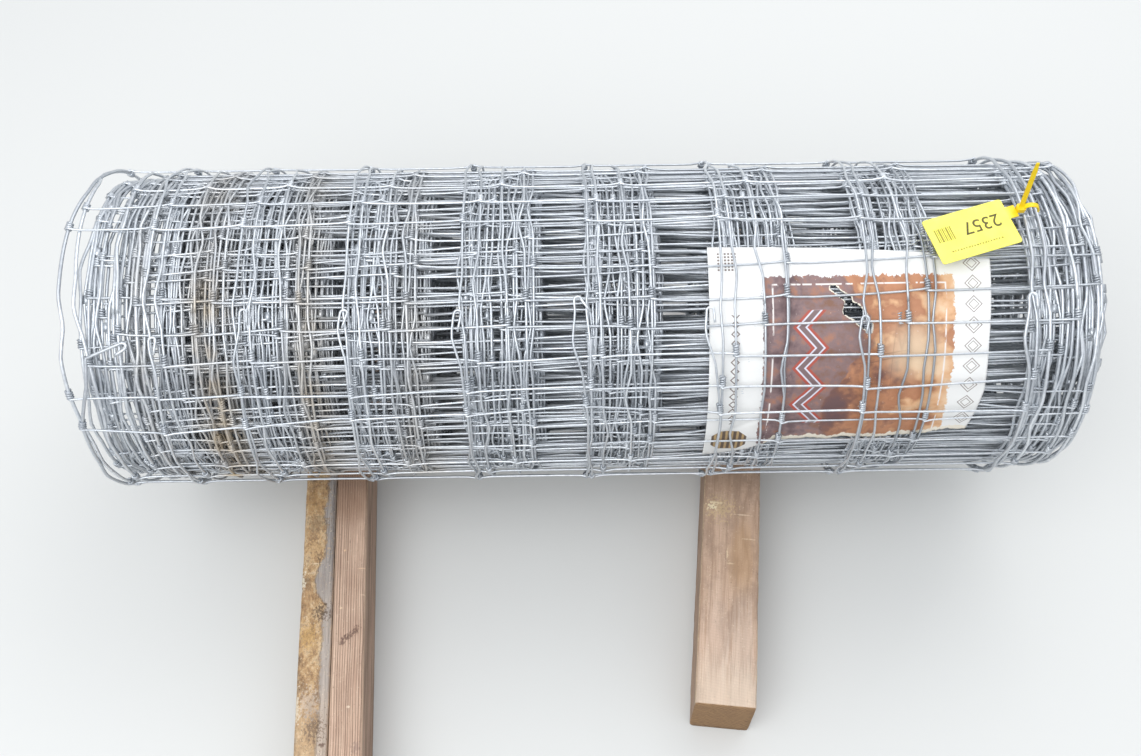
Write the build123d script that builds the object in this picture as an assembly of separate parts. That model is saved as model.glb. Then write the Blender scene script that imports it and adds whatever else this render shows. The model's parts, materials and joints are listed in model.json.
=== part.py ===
# A roll of woven wire field fence, lying on its side across three timber bearers.
# All lengths are millimetres. The roll's axis runs along X, its front is towards -Y,
# and the bearers stand on the floor at Z = 0.
from build123d import *
from math import degrees, sqrt
import os

inch = 25.4

# The fence: graduated gaps between its line wires, from the close-meshed edge to the wide one
wire_gaps = [inch * gap for gap in (3, 3.5, 4, 4.5, 5, 5.5, 6, 7)]

# The roll. Each turn lies a little further along X than the one wound over it, so every line
# wire makes a band of turns, and the outer turns stand out past the inner ones at one end.
roll_radius = 187
bore_radius = 45
band_width = 84
band_shoulder = 4
band_relief = 4
shortest_relief = 8
stray_turn = 26
dish_radius_step = 14
lip_thickness = 6

# The turns as they show on the ends
end_ridges = 10
ridge_depth = 5

# The paper label, held under the outer turns. Angles rise from the front of the roll to its top.
label_start = 643
label_width = 294
label_low_angle = -7
label_high_angle = 82
label_thickness = 0.4
label_cover = 16
label_clearance = 0.2
label_margin = 3

# The plastic lot tag, moulded in one piece with the strap that ties it to the fence
tag_length = 90
tag_width = 54
tag_thickness = 1.2
tag_corner = 3
tag_middle = 917
tag_angle = 82.5
tag_turn = 17
neck_width = 14
neck_length = 10
neck_offset = 9
head_length = 9
head_width = 8
head_height = 6
head_corner = 1.5
strap_width = 5
strap_thickness = 1.4
loop_radius = 10
tail_length = 62
tail_taper = 12
tail_tip_width = 3
tail_lean = 14
tag_clearance = 0.3

# The bearers: a pair of planed boards on edge, side by side, and one sawn timber
bearer_height = 89
board_thickness = 38
board_length = 914
board_gap = 0.6
board_edge_radius = 3
pair_start = 161
pair_turn = 3
pair_front = 530
timber_width = 70
timber_length = 800
timber_edge = 1.5
timber_middle = 715
timber_turn = -6.5
timber_front = 405
bearer_clearance = 0.1

# Worked out from the sizes above
wire_places = [sum(wire_gaps[:count]) for count in range(len(wire_gaps) + 1)]
fence_height = wire_places[-1]
axis_height = bearer_height + bearer_clearance + roll_radius
inner_radius = roll_radius - dish_radius_step
left_face = band_width
right_face = fence_height + band_width


# One end of the winding, from its outer radius in to the bore, as ridges side by side.
# The ridges are raised towards the outside, which is along -X or +X.
def end_ridge_points(face, outer_radius, outside):
    steps = 2 * end_ridges
    return [
        (
            face - outside * ridge_depth * (step % 2),
            outer_radius + (bore_radius - outer_radius) * step / steps,
        )
        for step in range(steps + 1)
    ]


# The outside of the roll: a raised band for each line wire, and shallow reliefs between
# the bands, where only the stay wires run.
def band_points():
    points = [(-stray_turn, roll_radius)]
    for place, next_place in zip(wire_places, wire_places[1:]):
        relief_start = place + band_width
        relief_end = next_place
        if relief_end - relief_start > shortest_relief + 2 * band_shoulder:
            points += [
                (relief_start, roll_radius),
                (relief_start + band_shoulder, roll_radius - band_relief),
                (relief_end - band_shoulder, roll_radius - band_relief),
                (relief_end, roll_radius),
            ]
    return points + [(fence_height + band_shoulder, roll_radius)]


# A piece of a ring round X: from one radius to another, between two angles
def ring_sector(start, width, inner, outer, low_angle, high_angle):
    section = Pos(start + width / 2, (inner + outer) / 2) * Rectangle(width, outer - inner)
    return revolve(Rot(X=180 - high_angle) * section, Axis.X, high_angle - low_angle)


def make_mesh_roll():
    lip = inner_radius - lip_thickness
    left_end = end_ridge_points(left_face, lip, -1)
    right_end = end_ridge_points(right_face, inner_radius, 1)
    outline = (
        left_end[::-1]
        + [(-stray_turn, roll_radius - lip_thickness)]
        + band_points()
        + right_end
    )
    winding = revolve(make_face(Polyline(*outline, close=True)), Axis.X)
    margin_angle = degrees(label_margin / roll_radius)
    pocket = ring_sector(
        label_start - label_margin,
        label_width + 2 * label_margin,
        roll_radius - label_cover - label_thickness - label_clearance,
        roll_radius + label_cover,
        label_low_angle - margin_angle,
        label_high_angle + margin_angle,
    )
    return winding - pocket


def make_paper_label():
    outer = roll_radius - label_cover
    return ring_sector(
        label_start, label_width, outer - label_thickness, outer, label_low_angle, label_high_angle
    )


# The strap's loop goes over a line wire, so it is an arch whose two legs end at the roll.
# The head stands on the arch's near leg, and the tail goes up out of the head.
def make_tag_strap(leg_length):
    ring = Circle(loop_radius) - Circle(loop_radius - strap_thickness)
    arch = ring & Pos(0, loop_radius / 2) * Rectangle(2 * loop_radius, loop_radius)
    leg = Rectangle(strap_thickness, leg_length)
    for side in (-1, 1):
        arch += Pos(side * (loop_radius - strap_thickness / 2), -leg_length / 2) * leg
    loop = extrude(Pos(loop_radius, 0, 0) * Rot(X=90) * arch, strap_width / 2, both=True)
    head = Box(head_length, head_width, head_height)
    head = Pos(0, 0, head_height / 2) * fillet(head.edges().filter_by(Axis.Z), head_corner)
    taper_start = tail_length - tail_taper
    tail_outline = Polyline(
        (-strap_width / 2, 0),
        (strap_width / 2, 0),
        (strap_width / 2, taper_start),
        (tail_tip_width / 2, tail_length),
        (-tail_tip_width / 2, tail_length),
        (-strap_width / 2, taper_start),
        close=True,
    )
    tail = extrude(Rot(X=90) * make_face(tail_outline), strap_thickness / 2, both=True)
    return loop + head + Pos(0, 0, head_height / 2) * Rot(X=-tail_lean) * tail


# The tag lies flat on the roll along its middle. Its strap stands beside that line, where
# the round of the roll falls away below the flat tag, so the legs reach down to the roll.
def make_lot_tag():
    plate = RectangleRounded(tag_length, tag_width, tag_corner)
    neck = Pos((tag_length + neck_length) / 2 - tag_corner, neck_offset) * Rectangle(
        neck_length + 2 * tag_corner, neck_width
    )
    flat = extrude(plate + neck, tag_thickness)
    strap_place = Rot(Z=tag_turn) * Pos((tag_length + head_length) / 2 + neck_length, neck_offset)
    strap_edge = strap_place.position.Y - strap_width / 2
    leg_length = roll_radius - sqrt(roll_radius**2 - strap_edge**2)
    strap = Pos(strap_place.position) * make_tag_strap(leg_length)
    tag = Rot(Z=tag_turn) * flat + strap
    return Rot(X=90 - tag_angle) * Pos(tag_middle, 0, roll_radius + tag_clearance) * tag


# A bearer lies along Y under the roll and is turned about the point under the roll's axis.
def place_bearer(bearer, length, middle, turn, front):
    return Pos(middle, 0) * Rot(Z=turn) * Pos(0, length / 2 - front, bearer_height / 2) * bearer


def make_board(side):
    board = Box(board_thickness, board_length, bearer_height)
    board = fillet(board.edges().filter_by(Axis.Y), board_edge_radius)
    beside = side * (board_thickness + board_gap) / 2
    pair_middle = pair_start + board_thickness + board_gap / 2
    return place_bearer(Pos(beside) * board, board_length, pair_middle, pair_turn, pair_front)


def make_timber():
    timber = Box(timber_width, timber_length, bearer_height)
    timber = chamfer(timber.edges().filter_by(Axis.Y), timber_edge)
    return place_bearer(timber, timber_length, timber_middle, timber_turn, timber_front)


lift = Pos(0, 0, axis_height)
pieces = {
    "mesh_roll": lift * make_mesh_roll(),
    "paper_label": lift * make_paper_label(),
    "lot_tag": lift * make_lot_tag(),
    "bearer_board_outer": make_board(-1),
    "bearer_board_inner": make_board(1),
    "bearer_timber": make_timber(),
}

# The origin is on the floor, under the middle of the whole
boxes = [piece.bounding_box() for piece in pieces.values()]
middle_x = (min(box.min.X for box in boxes) + max(box.max.X for box in boxes)) / 2
middle_y = (min(box.min.Y for box in boxes) + max(box.max.Y for box in boxes)) / 2
centring = Pos(-middle_x, -middle_y)

os.makedirs("parts", exist_ok=True)
for name, piece in pieces.items():
    export_step(centring * piece, f"parts/{name}.step")

print("The bore's axis is at Y", round(-middle_y, 3), "and Z", round(axis_height, 3))
print("The edge line wire of the outermost turn is at X", round(-middle_x, 3))
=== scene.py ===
# The looks of a roll of woven wire field fence on its bearers: the wound mesh wire by wire, the
# paper label under its outer turns, the plastic lot tag, and the weathered wood that it lies on.
from functools import partial, reduce
import json
import math
import bpy
import numpy as np
from mathutils import Matrix, Vector


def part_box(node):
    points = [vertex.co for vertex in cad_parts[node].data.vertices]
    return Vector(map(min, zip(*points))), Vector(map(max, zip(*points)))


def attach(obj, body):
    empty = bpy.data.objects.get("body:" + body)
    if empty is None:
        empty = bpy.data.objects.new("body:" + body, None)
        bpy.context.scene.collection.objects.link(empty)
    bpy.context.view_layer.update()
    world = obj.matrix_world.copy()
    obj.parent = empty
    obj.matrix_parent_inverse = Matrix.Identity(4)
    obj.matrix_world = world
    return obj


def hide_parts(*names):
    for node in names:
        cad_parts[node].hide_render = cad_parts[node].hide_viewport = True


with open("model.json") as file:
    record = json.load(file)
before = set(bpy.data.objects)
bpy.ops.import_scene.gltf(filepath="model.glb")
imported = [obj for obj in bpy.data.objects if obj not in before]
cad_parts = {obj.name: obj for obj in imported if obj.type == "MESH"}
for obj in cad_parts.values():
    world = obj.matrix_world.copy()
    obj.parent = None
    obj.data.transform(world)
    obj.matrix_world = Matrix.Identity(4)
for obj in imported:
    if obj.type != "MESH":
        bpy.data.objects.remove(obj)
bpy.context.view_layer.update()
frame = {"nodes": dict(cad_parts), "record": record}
print("The frame is in, with", len(frame["nodes"]), "nodes")

millimetre = 0.001
inch = 0.0254

# Where the roll lies, read from the frame
rollLow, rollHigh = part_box("mesh_roll")
bore = {mount["name"]: mount for mount in frame["record"]["mounts"]}["roll_bore"]
axisY, axisZ = bore["pos_m"][1:]
rollRadius = (rollHigh.z - rollLow.z) / 2
boreRadius = bore["dims"]["r_mm"] * millimetre


# A colour as the eye sees it, turned to the linear values that shaders work in
def linear(hexColour):
    parts = [int(hexColour[i:i + 2], 16) / 255 for i in (1, 3, 5)]
    curved = [part / 12.92 if part <= 0.04045 else ((part + 0.055) / 1.055) ** 2.4 for part in parts]
    return (*curved, 1.0)


# What the word after a node's type stands for
nodeModes = {"Math": "operation", "VectorMath": "operation", "Mix": "data_type",
             "MapRange": "interpolation_type"}


# Adds a node and gives back its first output in use, or the one asked for. Inputs are numbers, hex
# colours or other nodes' outputs: in order, by name, or both. A ramp's stops are places and colours.
def addNode(tree, kind, *inOrder, byName=None, out=None, stops=(), **settings):
    kind, *mode = kind.split()
    node = tree.nodes.new("ShaderNode" + kind)
    settings.update({nodeModes[kind]: word for word in mode})
    for name, value in settings.items():
        setattr(node, name, value)
    inUse = [socket for socket in node.inputs if socket.enabled]
    named = [(node.inputs[name], value) for name, value in (byName or {}).items()]
    for socket, value in [*zip(inUse, inOrder), *named]:
        if isinstance(value, bpy.types.NodeSocket):
            tree.links.new(value, socket)
        else:
            socket.default_value = linear(value) if isinstance(value, str) else value
    if stops:
        elements = node.color_ramp.elements
        while len(elements) < len(stops):
            elements.new(0.5)
        for element, (place, colour) in zip(elements, stops):
            element.position, element.color = place, linear(colour)
    return node.outputs[out] if out else next((socket for socket in node.outputs if socket.enabled), None)


# An empty material, and the function that adds nodes to it
def newMaterial(name):
    material = bpy.data.materials.new(name)
    material.use_nodes = True
    material.node_tree.nodes.clear()
    return material, partial(addNode, material.node_tree)


# Places in millimetres along a piece's own axes, from the matrix that lays the piece in the scene
def ownPlaces(add, laid):
    back = laid.inverted()
    turnedBack = {"Location": back.to_translation(), "Rotation": back.to_euler()}
    return add("VectorMath SCALE", add("Mapping", add("TexCoord", out="Object"), byName=turnedBack), 1000.0)


# A mesh from arrays: points is (n, 3), and faces is a list of (count, corners) arrays of indices
def meshFromArrays(name, points, faces, smooth=True, attributes=None):
    mesh = bpy.data.meshes.new(name)
    mesh.vertices.add(len(points))
    mesh.vertices.foreach_set("co", np.asarray(points, np.float32).ravel())
    corners = np.concatenate([block.ravel() for block in faces]).astype(np.int32)
    sizes = np.concatenate([np.full(len(block), block.shape[1]) for block in faces])
    starts = np.concatenate([[0], np.cumsum(sizes)[:-1]]).astype(np.int32)
    mesh.loops.add(len(corners))
    mesh.loops.foreach_set("vertex_index", corners)
    mesh.polygons.add(len(sizes))
    mesh.polygons.foreach_set("loop_start", starts)
    mesh.polygons.foreach_set("use_smooth", np.full(len(sizes), smooth))
    for key, values in (attributes or {}).items():
        attribute = mesh.attributes.new(key, "FLOAT", "POINT")
        attribute.data.foreach_set("value", np.asarray(values, np.float32))
    mesh.update(calc_edges=True)
    mesh.validate()
    return mesh


# Moves points, as rows of three numbers, by a matrix
def laidBy(matrix, points):
    turned = np.array(matrix)
    return points @ turned[:3, :3].T + turned[:3, 3]


def newObject(name, data):
    made = bpy.data.objects.new(name, data)
    bpy.context.scene.collection.objects.link(made)
    return made


def addPiece(name, mesh, material, slot, *replaced):
    piece = newObject(name, mesh)
    mesh.materials.append(material)
    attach(piece, "root")
    if replaced:
        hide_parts(*replaced)
    return piece


# Goes from 0 to 1 and stays level at both ends: three times the square less twice the cube
def eased(share):
    return share * share * (3 - 2 * share)


# Smooth random hills from 0 to 1: a lattice of random heights, eased between its points
def hills(u, v, seed):
    cells = 64
    lattice = np.random.default_rng(seed).random((cells, cells))
    cellU, cellV = np.floor(u).astype(int), np.floor(v).astype(int)
    easeU, easeV = eased(u - cellU), eased(v - cellV)
    low, high = (
        lattice[(cellU + step) % cells, cellV % cells] * (1 - easeV)
        + lattice[(cellU + step) % cells, (cellV + 1) % cells] * easeV
        for step in (0, 1)
    )
    return low * (1 - easeU) + high * easeU


# Carries a round section along many paths at once. A path's points are joined by rings: at each
# point the ring lies square to the path, and its first corner points along the side vector.
def roundBars(paths, sides, radius, corners):
    ahead = np.gradient(paths, axis=1)
    ahead /= np.linalg.norm(ahead, axis=-1, keepdims=True)
    across = sides - ahead * (sides * ahead).sum(-1, keepdims=True)
    across /= np.linalg.norm(across, axis=-1, keepdims=True)
    other = np.cross(ahead, across)
    angle = 2 * np.pi * np.arange(corners) / corners
    ring = np.cos(angle)[:, None] * across[:, :, None] + np.sin(angle)[:, None] * other[:, :, None]
    wide = np.broadcast_to(radius, paths.shape[:2])
    points = paths[:, :, None] + wide[:, :, None, None] * ring
    count, steps = paths.shape[:2]
    index = np.arange(count * steps * corners).reshape(count, steps, corners)
    beside = np.roll(index, -1, axis=2)
    quads = np.stack([index[:, :-1], beside[:, :-1], beside[:, 1:], index[:, 1:]], axis=-1)
    caps = np.concatenate([index[:, 0, ::-1], index[:, -1]])
    return points.reshape(-1, 3), quads.reshape(-1, 4), caps


# Several sets of bars as one mesh. Each set is (points, quads, caps, values of each attribute).
def joinBars(name, sets):
    points, quads, caps, first = [], [], {}, 0
    attributes = {}
    for places, walls, ends, values in sets:
        points.append(places)
        quads.append(walls + first)
        caps.setdefault(ends.shape[1], []).append(ends + first)
        first += len(places)
        for key, value in values.items():
            attributes.setdefault(key, []).append(value)
    faces = [np.concatenate(quads)] + [np.concatenate(block) for block in caps.values()]
    joined = {key: np.concatenate(value) for key, value in attributes.items()}
    return meshFromArrays(name, np.concatenate(points), faces, attributes=joined)


# The wound fence. Angles are degrees round the roll: 0 is its front, 90 its top. The free end of
# the fence is at startAngle on the front, and the turns go down, round the back and over the top.
fence = {
    "wireGaps": (3, 3.5, 4, 4.5, 5, 5.5, 6, 7),  # inches between the line wires
    "strayTurn": 26 * millimetre,  # how far the stray turn stands out past the close-meshed edge
    "wireRadius": 1.4 * millimetre,
    "edgeWireRadius": 1.9 * millimetre,
    "stayRadius": 1.3 * millimetre,
    "startAngle": 60,
    "firstStay": 21,  # the angle of the outermost stay
    "stayStep": 58.2,  # degrees between stays on the loose turns
    "staySpacing": 183 * millimetre,
    "innerStaySpacing": 124 * millimetre,
    "innerStayRadius": 1.65 * millimetre,
    "spacingFade": 6,  # turns over which the one spacing becomes the other
    "looseTurns": 6,
    # How deep the turns lie, in millimetres under the outermost; the last turn is at the bore
    "depths": ((0, 0), (6, 11.4), (41, 27.5), (54, 41)),
    "turns": 84,
    # How far each of the outer turns lies towards the wide-meshed edge, in millimetres. The loose
    # turns lie out of order, and those under them are wound steadily back and then forth.
    "turnOffsets": (0, 1, 14, 45, 66, 72, 66, 59, 52, 45, 38, 31, 24, 17, 10, 2, 7, 14, 21, 16, 9, 4, 11, 18,
                    26, 34, 42, 50, 58, 66, 74, 66, 58, 50, 42, 34, 42, 50, 58, 66, 74, 80),
    "innerOffset": 81,
    "innerSwing": 4,
    "innerSwingTurns": 6.5,
    # How far the outer turns of each line wire have crept from their nominal place, in millimetres
    "creep": (-13, -10, -10, 0, 9, 9, 8, 4, 0),
    "creepDepth": 40,  # turns over which the creep fades
    # Where the close-meshed edge strays out: the turn, its half width in turns, and millimetres
    "strays": ((0.98, 0.13, -15), (1.87, 0.17, -14)),
    "sway": 1.7,  # millimetres that a line wire wanders along the roll from knot to knot
    "lift": 0.7,  # millimetres that it wanders off its turn
    "crimps": (2.5, 7.5),  # millimetres that its tension crimps reach aside, at least and at most
    "crimpsOneWay": 0.8,  # the share of them that point to the close-meshed edge
    "crimpAt": (0.52, 0.05),  # where a crimp lies between two stays, and how much that varies
    "crimpReach": 32 * millimetre,
    "crimpRound": 4 * millimetre,
    "firstCrimps": -7,  # those of the free ends, above the outermost stay
    "edgeCrimps": {5: -4, 6: 6, 7: -3, 12: -5},  # those of the close-meshed edge that show most
    "knotJitter": 0.7,  # degrees
    "dip": (0.6, 0.9),  # millimetres that a stay sags round the roll, and how much that varies
    "bunches": ((4.7, 2.0), (11.3, 3.2)),  # degrees between bunches, and millimetres of pull
    "stayEase": 6 * millimetre,  # how soon a stay comes down from a knot
    "coilPitch": 2.6 * millimetre,
    "coilWraps": 3.9,
    "startWraps": 0.75,
    "edgeWraps": (3.6, 0.7),  # the coil on the close-meshed edge: wraps at its end and its start
    "sleeve": (0, 0.5, 9.5, 10),  # a plain knot: where it starts, is full, is still full and ends, in mm
    "woundTone": 0.6,  # how much duller the wire is in a knot
    "labelShadeTone": 0.8,  # painted shade: how much darker the loose line wires are drawn where they cross the label
    "seed": 11,
}

# The free end: where each wire was cut, how far it has sprung aside, and how its end is hooked
freeEnd = {
    "angle": (45.5, 50, 58.5, 58, 57.5, 61, 57, 53.5, 60),
    "aside": (22, 4, 4, 0, -8, -13, -15, -3, -8),  # millimetres
    "lean": (68, 6, 4, 12, 16, 2, 4, 6, 8),  # degrees from the wire's own line
    "leg": (40, 3, 3, 3, 3, 3, 3, 3, 3),  # millimetres from the cut end of the mesh to the hook
    "back": (11, 14, 12, 15, 18, 15, 12, 14, 12),  # millimetres of wire past the hook's bend
    "flare": (10, -4, 6, -8, 4, 40, 8, -6, 10),  # degrees that the hook's end stands off
    "bend": 3.6 * millimetre,
    "rise": 2.8 * millimetre,  # how far the hook's tip stands off the roll
    "risePoints": 6,
    "arcPoints": 9,  # points of the hook's bend
    "legPoints": 3,  # points of its leg, and of its way back
    "skew": (-1, -4, -2, 1, 2, 5, 1, 1, 0),  # degrees that the first stay's knots lie off its line
}

# Where the mesh differs from place to place. Each window is where something starts, is full, is
# still full and ends: in metres along the roll from its edge wire, and in degrees round it.
pressed = {"along": (0.622, 0.644, 0.938, 0.962), "round": (-17, -7, 82, 92), "depth": 8.6 * millimetre,
           "from": 5.6, "full": 6, "fade": 4.5}  # the last three are turns
# Where the loose line wires over the label get painted shade
labelShadeWindow = {"along": (0.63, 0.66, 0.935, 0.965), "round": (-14, 0, 78, 92)}
# A stained band is its middle along the roll, half its width and how strong it is. "everywhere" is
# the share of the stain that doesn't depend on the angle, and the rest is strongest "low" radians
# below the front.
stained = {"bands": ((0.123, 0.021, 1.0), (0.226, 0.018, 0.75), (0.335, 0.022, 0.4), (0.052, 0.01, 0.3)),
           "everywhere": 0.62, "low": 0.3, "from": 1.2}  # the last is a turn

wirePlaces = np.concatenate([[0], np.cumsum(fence["wireGaps"])]) * inch
wireCount = len(wirePlaces)
edgeX = rollLow.x + fence["strayTurn"]
wireRadii = np.full(wireCount, fence["wireRadius"])
wireRadii[[0, -1]] = fence["edgeWireRadius"]
coilRadii = wireRadii + fence["stayRadius"]
outerRadius = rollRadius - fence["wireRadius"] - 2 * fence["stayRadius"]
innerRadius = boreRadius + fence["edgeWireRadius"]
startAngle = math.radians(fence["startAngle"])


# The radius of a turn's wires falls slowly through the outer turns, and then evenly to the bore
def radiusAt(turn):
    turns, depths = np.array(fence["depths"]).T
    return np.interp(turn, [*turns, fence["turns"]], [*(outerRadius - depths * millimetre), innerRadius])


# How many stays lie outside a place, as a running sum of the turn over the step between stays
turnGrid = np.linspace(-0.2, fence["turns"], 8000)
lastDense = fence["depths"][-1][0]
spacing = np.interp(turnGrid, [lastDense, lastDense + fence["spacingFade"]],
                    [fence["staySpacing"], fence["innerStaySpacing"]])
tightStep = spacing / (2 * np.pi * radiusAt(turnGrid))
stepTurns = np.where(turnGrid < fence["looseTurns"], fence["stayStep"] / 360, tightStep)
staysToPlace = np.concatenate([[0], np.cumsum(np.diff(turnGrid) / stepTurns[1:])])
firstStayTurn = (fence["startAngle"] - fence["firstStay"]) / 360
staysToPlace -= np.interp(firstStayTurn, turnGrid, staysToPlace)
stayCount = int(staysToPlace[-1])
stayTurns = np.interp(np.arange(stayCount), staysToPlace, turnGrid)

# Chance, set once for the whole fence: a row for each cell between stays, a column for each wire
chance = np.random.default_rng(fence["seed"])
rows = (stayCount + 3, wireCount)
swayTable = chance.normal(0, fence["sway"], rows) * millimetre
liftTable = chance.normal(0, fence["lift"], rows) * millimetre
crimpTable = -chance.uniform(*fence["crimps"], rows)
crimpTable *= np.where(chance.random(rows) < fence["crimpsOneWay"], 1, -1)
crimpPlace = chance.normal(*fence["crimpAt"], rows)
knotJitter = chance.normal(0, fence["knotJitter"], rows)
dipTable = chance.normal(*fence["dip"], rows) * millimetre
toneTable = chance.random(rows)
crimpTable[0] = fence["firstCrimps"]
crimpTable[list(fence["edgeCrimps"]), 0] = list(fence["edgeCrimps"].values())
crimpTable *= millimetre
knotJitter[1] = freeEnd["skew"]


# How far a turn lies along the roll: listed values for the outer turns, then a slow to and fro
def offsetAt(turn):
    listed = np.array(fence["turnOffsets"], float)
    last = len(listed) - 1
    swing = 2 * np.abs((turn / fence["innerSwingTurns"]) % 1 * 2 - 1) - 1
    inner = fence["innerOffset"] + fence["innerSwing"] * swing
    outer = np.interp(turn, np.arange(last + 1), listed)
    blend = np.clip(turn - last + 1, 0, 1)
    return (outer * (1 - blend) + inner * blend) * millimetre


# The middle of a line wire: how far along the roll it lies, and how far off its turn's radius.
# It is the wire's nominal place, the turn's offset, its creep, a sway between knots, and a sharp
# tension crimp about halfway between stays.
def wireAt(wire, turn):
    passed = np.interp(turn, turnGrid, staysToPlace)
    cell = np.floor(passed).astype(int)
    share = passed - cell
    row = np.clip(cell + 1, 0, rows[0] - 2)
    ease = eased(share)
    sway = swayTable[row, wire] * (1 - ease) + swayTable[row + 1, wire] * ease
    lift = liftTable[row, wire] * (1 - ease) + liftTable[row + 1, wire] * ease
    fromCrimp = (share - crimpPlace[row, wire]) * fence["staySpacing"]
    peak = 1 - np.sqrt(fromCrimp ** 2 + fence["crimpRound"] ** 2) / fence["crimpReach"]
    crimp = crimpTable[row, wire] * np.clip(peak, 0, 1)
    creep = np.array(fence["creep"])[wire] * millimetre * np.exp(-np.abs(turn) / fence["creepDepth"])
    toHook = (np.array(freeEnd["angle"])[wire] - fence["firstStay"]) / fence["stayStep"]
    aside = np.array(freeEnd["aside"])[wire] * millimetre * np.clip(-passed / toHook, 0, 1.1)
    stray = sum(far * np.exp(-((turn - middle) / half) ** 4) for middle, half, far in fence["strays"])
    stray = np.where(wire == 0, stray * millimetre, 0)
    along = wirePlaces[wire] + offsetAt(turn) + sway + crimp + creep + aside + stray
    return along, lift * np.clip(turn, 0.3, 1)


def angleAt(turn):
    return startAngle - 2 * np.pi * turn


def outwardAt(turn):
    angle = angleAt(turn)
    return np.stack([0 * angle, -np.cos(angle), np.sin(angle)], axis=-1)


# How far a place is inside a window, from 0 to 1: its share along the roll times its share round it
def insideWindow(window, turn, along):
    degreesUp = (np.degrees(angleAt(turn)) + 180) % 360 - 180
    shares = (0, 1, 1, 0)
    return np.interp(along, window["along"], shares) * np.interp(degreesUp, window["round"], shares)


# How far the label presses the turns under it inwards: most just under it, and less with depth
def pressAt(turn, along):
    share = np.where(turn > pressed["from"], np.exp(-(turn - pressed["full"]) / pressed["fade"]), 0)
    return pressed["depth"] * insideWindow(pressed, turn, along) * np.clip(share, 0, 1)


# Places in the scene from their distance along the roll, their radius and their angle
def aboutRoll(along, radius, angle):
    return np.stack([edgeX + along, axisY - radius * np.cos(angle), axisZ + radius * np.sin(angle)], axis=-1)


# A place in the roll from its turn, its distance along the roll, and its lift off the turn's radius
def onRoll(turn, along, lift):
    return aboutRoll(along, radiusAt(turn) + lift - pressAt(turn, along), angleAt(turn))


# The share of a turn that a length of wire takes
def turnShare(turn, length):
    return length / (2 * np.pi * radiusAt(turn))


# How stained a place of the mesh is, from 0 to 1: a brown film on the later wires of a few
# bundles, strongest low on the front
def stainAt(turn, along):
    spread = stained["everywhere"] + (1 - stained["everywhere"]) * np.cos(angleAt(turn) + stained["low"])
    film = sum(share * np.exp(-((along - middle) / half) ** 2) for middle, half, share in stained["bands"])
    return np.clip(film * spread * np.clip(turn - stained["from"], 0, 1), 0, 1)


# Stays of neighbouring turns lie in bunches: how far round the roll each one is drawn to its bunch
def bunchAt(turn):
    angle = np.degrees(angleAt(turn))
    pull = sum(far * np.sin(2 * np.pi * angle / step) for step, far in fence["bunches"])
    return pull * millimetre * np.clip(turn - 2, 0, 1)


# The line wires of some turns, each one a tube whose path is wireAt from first to last. The loose
# ones are drawn darker where they cross the label, as painted shade.
def lineWires(first, last, detail):
    steps = int(round((last - first) * detail["steps"])) + 1
    wire = np.arange(wireCount)[:, None]
    begin = np.full((wireCount, 1), float(first))
    if first == 0:
        begin = (fence["startAngle"] - np.array(freeEnd["angle"], float))[:, None] / 360
    turn = begin + (last - begin) * np.linspace(0, 1, steps)
    along, lift = wireAt(wire, turn)
    if first == 0:
        turn, along, lift = addHooks(turn, along, lift)
    paths = onRoll(turn, along, lift)
    points, quads, caps = roundBars(paths, outwardAt(turn), wireRadii[:, None], detail["wireCorners"])
    # Painted shade: how far a place of a loose line wire lies over the label
    dull = insideWindow(labelShadeWindow, turn, along) * (turn < fence["looseTurns"])
    tone = toneTable[np.floor(turn).astype(int) + 1, wire] + fence["labelShadeTone"] * dull
    tone, stain = (np.repeat(value.ravel(), detail["wireCorners"]) for value in (tone, stainAt(turn, along)))
    return points, quads, caps, {"tone": tone, "stain": stain}


# The hook on each wire's cut end, put before its path: a leg that leans, half a circle, and a
# short way back, drawn on the roll's surface as (aside, up) and turned by the lean
def addHooks(turn, along, lift):
    lean, flare = (np.radians(freeEnd[key])[:, None] for key in ("lean", "flare"))
    leg, back = (np.array(freeEnd[key])[:, None] * millimetre for key in ("leg", "back"))
    bend = freeEnd["bend"]
    beta = np.linspace(0, np.pi, freeEnd["arcPoints"])[None]
    arcX = bend * (1 + np.cos(beta)) + 0 * leg
    arcY = leg + bend * np.sin(beta)
    backShare = np.linspace(1, 0.25, freeEnd["legPoints"])[None]
    backX = 2 * bend + back * backShare * np.sin(flare)
    backY = leg - back * backShare * np.cos(flare)
    legShare = np.linspace(0.75, 0.25, freeEnd["legPoints"])[None]
    x = np.concatenate([backX, arcX, 0 * leg * legShare], axis=1)
    y = np.concatenate([backY, arcY, leg * legShare], axis=1)
    aside = x * np.cos(lean) + y * np.sin(lean)
    up = y * np.cos(lean) - x * np.sin(lean)
    hookTurn = turn[:, :1] - turnShare(turn[:, :1], up)
    raised = freeEnd["rise"] * np.clip(1 - np.arange(x.shape[1]) / freeEnd["risePoints"], 0, 1)
    hook = (hookTurn, along[:, :1] + aside, lift[:, :1] + raised)
    return [np.concatenate(both, axis=1) for both in zip(hook, (turn, along, lift))]


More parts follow.
